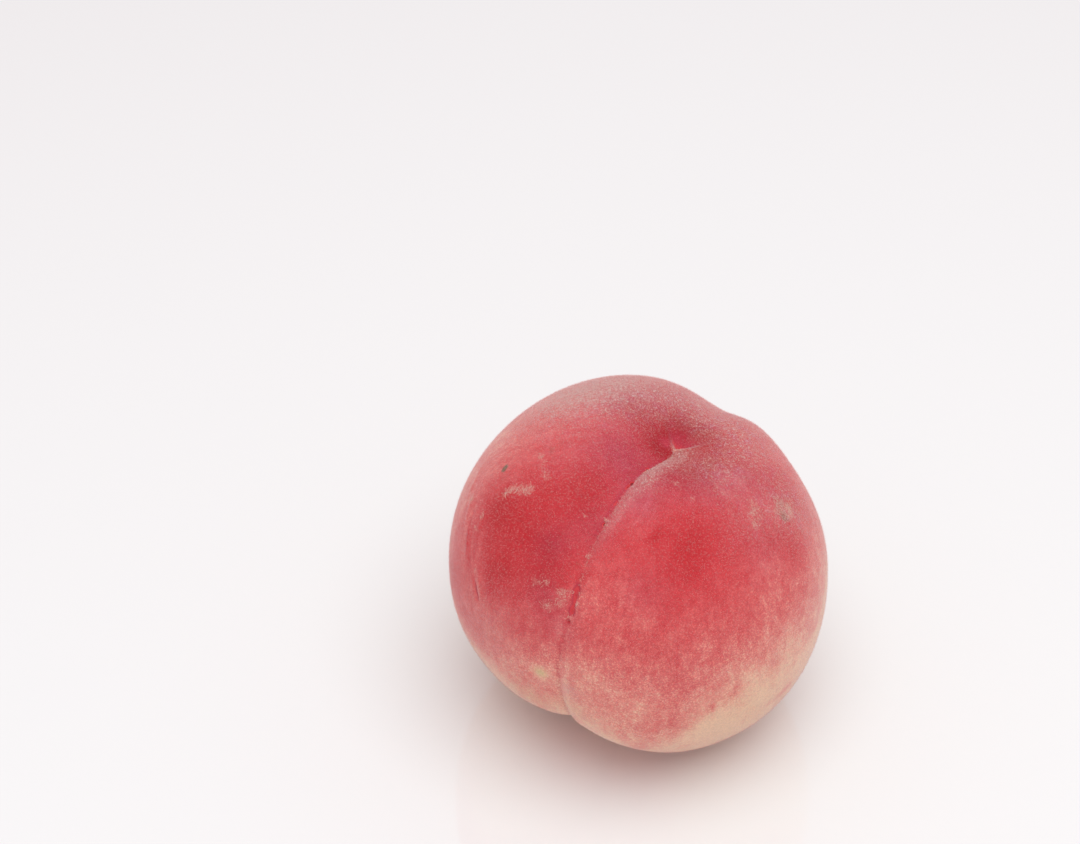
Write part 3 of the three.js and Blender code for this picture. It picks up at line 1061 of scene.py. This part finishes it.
def tube_faces(rings):
    """A closed three-sided tube, with its vertices in order along it."""
    faces = []
    for ring in range(rings - 1):
        for k in range(3):
            here, beside = 3 * ring + k, 3 * ring + (k + 1) % 3
            faces += [(here, beside, here + 3), (beside, beside + 3, here + 3)]
    last = 3 * (rings - 1)
    return faces + [(0, 2, 1), (last, last + 1, last + 2)]


def add_object(name, data):
    thing = bpy.data.objects.new(name, data)
    bpy.context.collection.objects.link(thing)
    return thing


def add_piece(name, points, faces, material):
    """Many small shapes as one piece: the points are given one for all shapes at a time."""
    first = len(points) * np.arange(len(points[0]))[:, None, None]
    mesh = bpy.data.meshes.new(name)
    mesh.from_pydata(np.stack(points, 1).reshape(-1, 3), [], (first + np.array(faces)).reshape(-1, 3))
    mesh.materials.append(material)
    piece = add_object(name, mesh)
    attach(piece, "root")


def make_down_piece(name, surface, shares, rng, material):
    """Tapered three-sided hairs, rooted a little under the skin and leaning every way."""
    root, up = scattered(HAIRS_PER_PIECE, surface, shares, rng)
    lean = sideways(up, rng)
    tilt = HAIR_LEAN * rng.random(HAIRS_PER_PIECE)[:, None] ** 0.5
    along_hair = unit(up + lean * np.tan(tilt))
    side = sideways(along_hair, rng)
    other = np.cross(along_hair, side)
    length = drawn(rng, HAIR_LENGTH, HAIRS_PER_PIECE) * MM
    width = drawn(rng, HAIR_WIDTH, HAIRS_PER_PIECE) * MM
    base = root - up * HAIR_ROOT_DEPTH * MM
    points = [base + along_hair * length]
    for k in range(3):
        angle = 2 * math.pi * k / 3
        points.append(base + (side * math.cos(angle) + other * math.sin(angle)) * width / 2)
    add_piece(name, points, HAIR_FACES, material)


def make_scurf(surface, shares, rng, material):
    """Curled threads of dry skin: three-sided tubes that taper to both ends."""
    place, up = scattered(SCURF_COUNT, surface, shares, rng)
    ahead = sideways(up, rng)
    aside = np.cross(up, ahead)
    length = drawn(rng, SCURF_LENGTH, SCURF_COUNT) * MM
    width = drawn(rng, SCURF_WIDTH, SCURF_COUNT) * MM
    curl = drawn(rng, (-SCURF_CURL, SCURF_CURL), SCURF_COUNT)
    lift = drawn(rng, SCURF_LIFT, SCURF_COUNT) * MM
    points = []
    for step in range(SCURF_STEPS):
        share = step / (SCURF_STEPS - 1)
        swell = math.sin(math.pi * share)
        heading = curl * (share - 0.5)
        place = place + (ahead * np.cos(heading) + aside * np.sin(heading)) * length / SCURF_STEPS
        centre = place + up * lift * swell
        radius = width * (SCURF_END_RADIUS + SCURF_SWELL * swell)
        right = radius * (aside * np.cos(heading) - ahead * np.sin(heading))
        out = radius * up
        points += [centre + out, centre + right - out / 2, centre - right - out / 2]
    add_piece("scurf", points, tube_faces(SCURF_STEPS), material)


def make_hair_material(name, colour):
    return Nodes(name).set_shader({"Base Color": colour, "Roughness": 0.6, "Specular IOR Level": 0.3})


def make_down(mesh):
    rng = np.random.default_rng(SEED)
    surface = skin_surface(mesh)
    shares = hair_shares(mesh, surface)
    material = make_hair_material("down", HAIR_COLOUR)
    for piece in range(DOWN_PIECES):
        make_down_piece(f"down_{piece + 1}", surface, shares, rng, material)
    make_scurf(surface, scurf_shares(mesh, surface), rng, make_hair_material("scurf", SCURF_COLOUR))


# ---------------------------------------------------------------- camera, floor and light
# The picture's own measures are in pixels, and the rest is in metres.

CAMERA_PITCH = 38.5
CAMERA_LENS_MM = 90
CAMERA_NEAR = 0.01
SENSOR_MM = 36
IMAGE_WIDTH, IMAGE_HEIGHT = 1080, 844
FRUIT_MIDDLE_PX = (640, 565)
FRUIT_DISTANCE = 0.6253

FLOOR_REACH = 6.0
FLOOR_FINISH = {"Base Color": (0.86, 0.85, 0.85, 1), "Roughness": 0.05, "Specular IOR Level": 1.0}

ROOM_COLOUR, ROOM_STRENGTH = (1.0, 0.90, 0.92, 1), 0.71
LAMP_PLACE, LAMP_TARGET, LAMP_SIZE = Vector((0.12, -0.35, 1.28)), Vector((0, 0, 0.03)), 1.3
LAMP_COLOUR, LAMP_WATTS = (0.865, 1.0, 0.99), 11.5


def make_camera(core):
    """Looks down from the front. The fruit's middle lies below and right of the picture's middle."""
    pitch = math.radians(CAMERA_PITCH)
    right = Vector((1, 0, 0))
    up = Vector((0, math.sin(pitch), math.cos(pitch)))
    ahead = Vector((0, math.cos(pitch), -math.sin(pitch)))
    focal_px = CAMERA_LENS_MM / SENSOR_MM * IMAGE_WIDTH
    aside = (FRUIT_MIDDLE_PX[0] - IMAGE_WIDTH / 2) / focal_px * FRUIT_DISTANCE
    above = (IMAGE_HEIGHT / 2 - FRUIT_MIDDLE_PX[1]) / focal_px * FRUIT_DISTANCE
    middle = Vector(core) + Vector(OFF_CENTRE) * MM
    place = middle - right * aside - up * above - ahead * FRUIT_DISTANCE
    data = bpy.data.cameras.new("camera")
    data.lens = CAMERA_LENS_MM
    data.sensor_width = SENSOR_MM
    data.clip_start = CAMERA_NEAR
    camera = add_object("camera", data)
    camera.matrix_world = Matrix.Translation(place) @ Matrix((right, up, -ahead)).transposed().to_4x4()
    bpy.context.scene.camera = camera


def make_floor():
    mesh = bpy.data.meshes.new("floor")
    corners = [(x * FLOOR_REACH, y * FLOOR_REACH, 0) for x, y in ((-1, -1), (1, -1), (1, 1), (-1, 1))]
    mesh.from_pydata(corners, [], [(0, 1, 2, 3)])
    mesh.materials.append(Nodes("glossy_white").set_shader(FLOOR_FINISH))
    add_object("floor", mesh)


def make_room():
    world = bpy.data.worlds.new("studio")
    world.use_nodes = True
    background = world.node_tree.nodes["Background"]
    background.inputs["Color"].default_value = ROOM_COLOUR
    background.inputs["Strength"].default_value = ROOM_STRENGTH
    bpy.context.scene.world = world


def make_lamp():
    """One broad round light overhead."""
    data = bpy.data.lights.new("overhead", "AREA")
    data.shape = "DISK"
    data.size = LAMP_SIZE
    data.energy = LAMP_WATTS
    data.color = LAMP_COLOUR
    lamp = add_object("overhead", data)
    lamp.location = LAMP_PLACE
    lamp.rotation_euler = (LAMP_TARGET - LAMP_PLACE).to_track_quat("-Z", "Y").to_euler()


# ---------------------------------------------------------------- the scene
skin_mesh, core = make_skin_mesh()
skin = add_object("skin", skin_mesh)
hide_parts("peach")
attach(skin, "root")
skin_mesh.materials.append(make_skin_material())
make_down(skin_mesh)
make_camera(core)
make_floor()
make_room()
make_lamp()
bpy.context.scene.view_settings.view_transform = "Standard"
